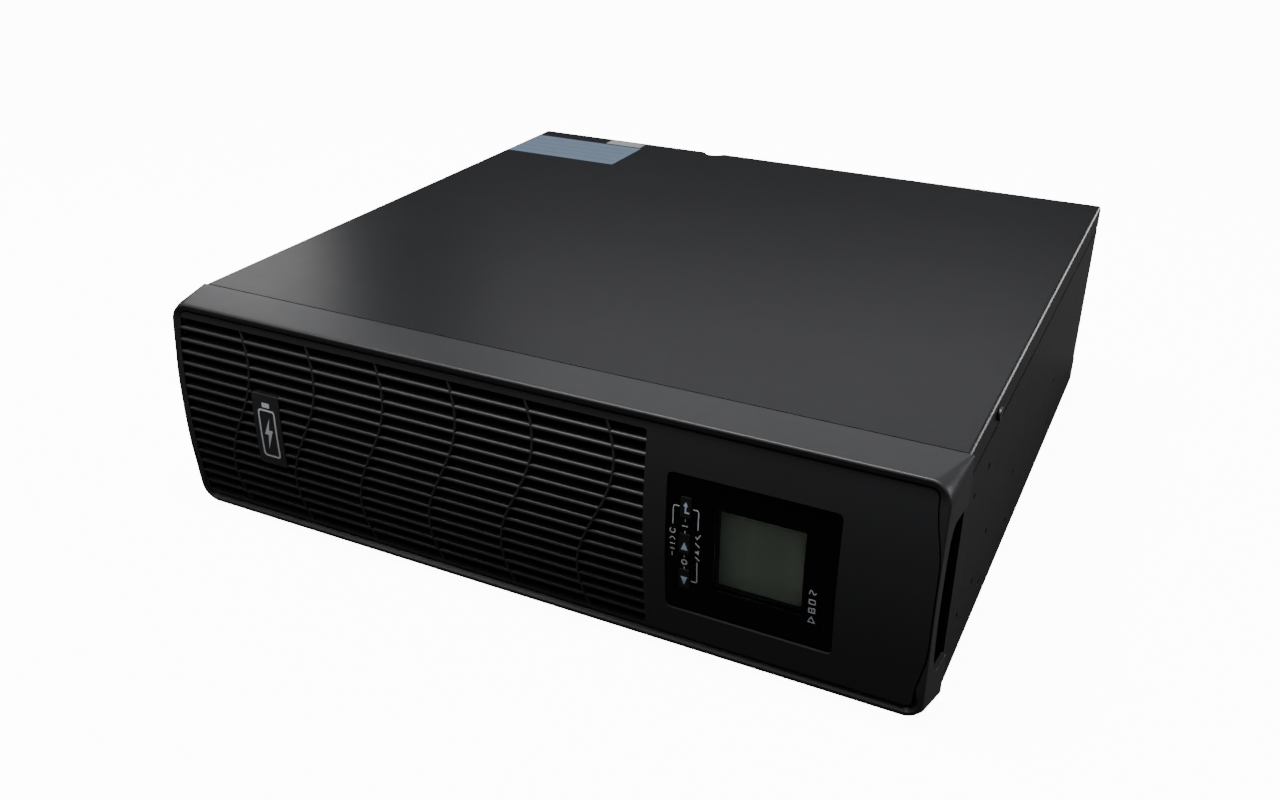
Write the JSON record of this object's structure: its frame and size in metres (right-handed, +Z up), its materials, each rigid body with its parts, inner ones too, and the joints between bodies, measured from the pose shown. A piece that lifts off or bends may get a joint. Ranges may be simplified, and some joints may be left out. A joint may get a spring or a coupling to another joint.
{
  "type": "uninterruptible power supply",
  "caption": "Black rack or tower uninterruptible power supply with a louvred bezel, a display with keys, batteries, fans and rear sockets.",
  "frame": {"origin": "centre of the bounding box's base, on the surface that the case stands on", "axes": "+X to the right seen from the front, +Y to the rear, +Z up; the bezel faces -Y"},
  "size_m": [0.4412, 0.422, 0.132],
  "materials": {
    "bezel_plastic": "moulded with a fine grain",
    "gloss_plastic": "gloss",
    "key_plastic": "satin",
    "black_plastic": "moulded",
    "green_plastic": "moulded",
    "clear": "clear acrylic",
    "lcd": "grey-green liquid crystal glass, off",
    "board": "solder mask",
    "painted_steel": "satin black powder coat",
    "bare_steel": "zinc plated",
    "aluminium": "extruded",
    "copper": "varnished copper wire under tape",
    "battery_case": "moulded",
    "blue_sleeve": "shrink sleeve"
  },
  "bodies": {
    "case": {"base_tray": "painted_steel", "top_cover": "painted_steel", "cover_screw_left": "bare_steel", "cover_screw_right": "bare_steel", "front_bulkhead": "painted_steel", "battery_door": "painted_steel", "battery_door_screw_left": "bare_steel", "battery_door_screw_right": "bare_steel", "battery_tray": "painted_steel", "battery_1": "battery_case", "battery_2": "battery_case", "battery_3": "battery_case", "battery_4": "battery_case", "battery_strap": "bare_steel", "main_board": "board", "transformer_core": "bare_steel", "transformer_coil": "copper", "heatsink_left": "aluminium", "heatsink_right": "aluminium", "bus_capacitor_1": "blue_sleeve", "bus_capacitor_2": "blue_sleeve", "bus_capacitor_3": "blue_sleeve", "power_relay_1": "black_plastic", "power_relay_2": "black_plastic", "rear_panel": "painted_steel", "fan_left_frame": "black_plastic", "fan_left_guard": "bare_steel", "fan_right_frame": "black_plastic", "fan_right_guard": "bare_steel", "outlet_bank_upper": "black_plastic", "outlet_bank_lower": "black_plastic", "ac_inlet": "black_plastic", "breaker_body": "black_plastic", "usb_port": "bare_steel", "network_jack": "black_plastic", "serial_port": "bare_steel", "epo_terminal": "green_plastic", "battery_connector": "black_plastic", "slot_cover": "painted_steel", "slot_screw_left": "bare_steel", "slot_screw_right": "bare_steel", "ground_stud": "bare_steel"},
    "bezel": {"bezel_frame": "bezel_plastic", "front_panel": "bezel_plastic", "badge_plate": "bezel_plastic", "display_housing": "gloss_plastic", "display_lens": "clear", "lcd_glass": "lcd", "lcd_backlight": "clear", "display_board": "board", "key_switch_strip": "black_plastic", "status_light_pipe": "clear"},
    "enter_key": {"key_enter": "key_plastic"},
    "up_key": {"key_up": "key_plastic"},
    "down_key": {"key_down": "key_plastic"},
    "left_rotor": {"fan_left_rotor": "black_plastic"},
    "right_rotor": {"fan_right_rotor": "black_plastic"},
    "reset_button": {"breaker_button": "key_plastic"}
  },
  "joints": [
    {"name": "bezel_pull", "type": "slide", "parent": "case", "child": "bezel", "axis": [0, -1, 0], "range_m": [0, 0.06]},
    {"name": "enter_press", "type": "slide", "parent": "bezel", "child": "enter_key", "axis": [0, 1, 0], "range_m": [0, 0.0008], "stiffness_N_per_m": 800},
    {"name": "up_press", "type": "slide", "parent": "bezel", "child": "up_key", "axis": [0, 1, 0], "range_m": [0, 0.0008], "stiffness_N_per_m": 800},
    {"name": "down_press", "type": "slide", "parent": "bezel", "child": "down_key", "axis": [0, 1, 0], "range_m": [0, 0.0008], "stiffness_N_per_m": 800},
    {"name": "left_fan_spin", "type": "hinge", "parent": "case", "child": "left_rotor", "pos_m": [-0.168, 0.187, 0.068], "axis": [0, 1, 0], "continuous": true},
    {"name": "right_fan_spin", "type": "hinge", "parent": "case", "child": "right_rotor", "pos_m": [-0.08, 0.187, 0.068], "axis": [0, 1, 0], "continuous": true},
    {"name": "breaker_reset", "type": "slide", "parent": "case", "child": "reset_button", "axis": [0, 1, 0], "range_m": [0, 0.003]}
  ]
}
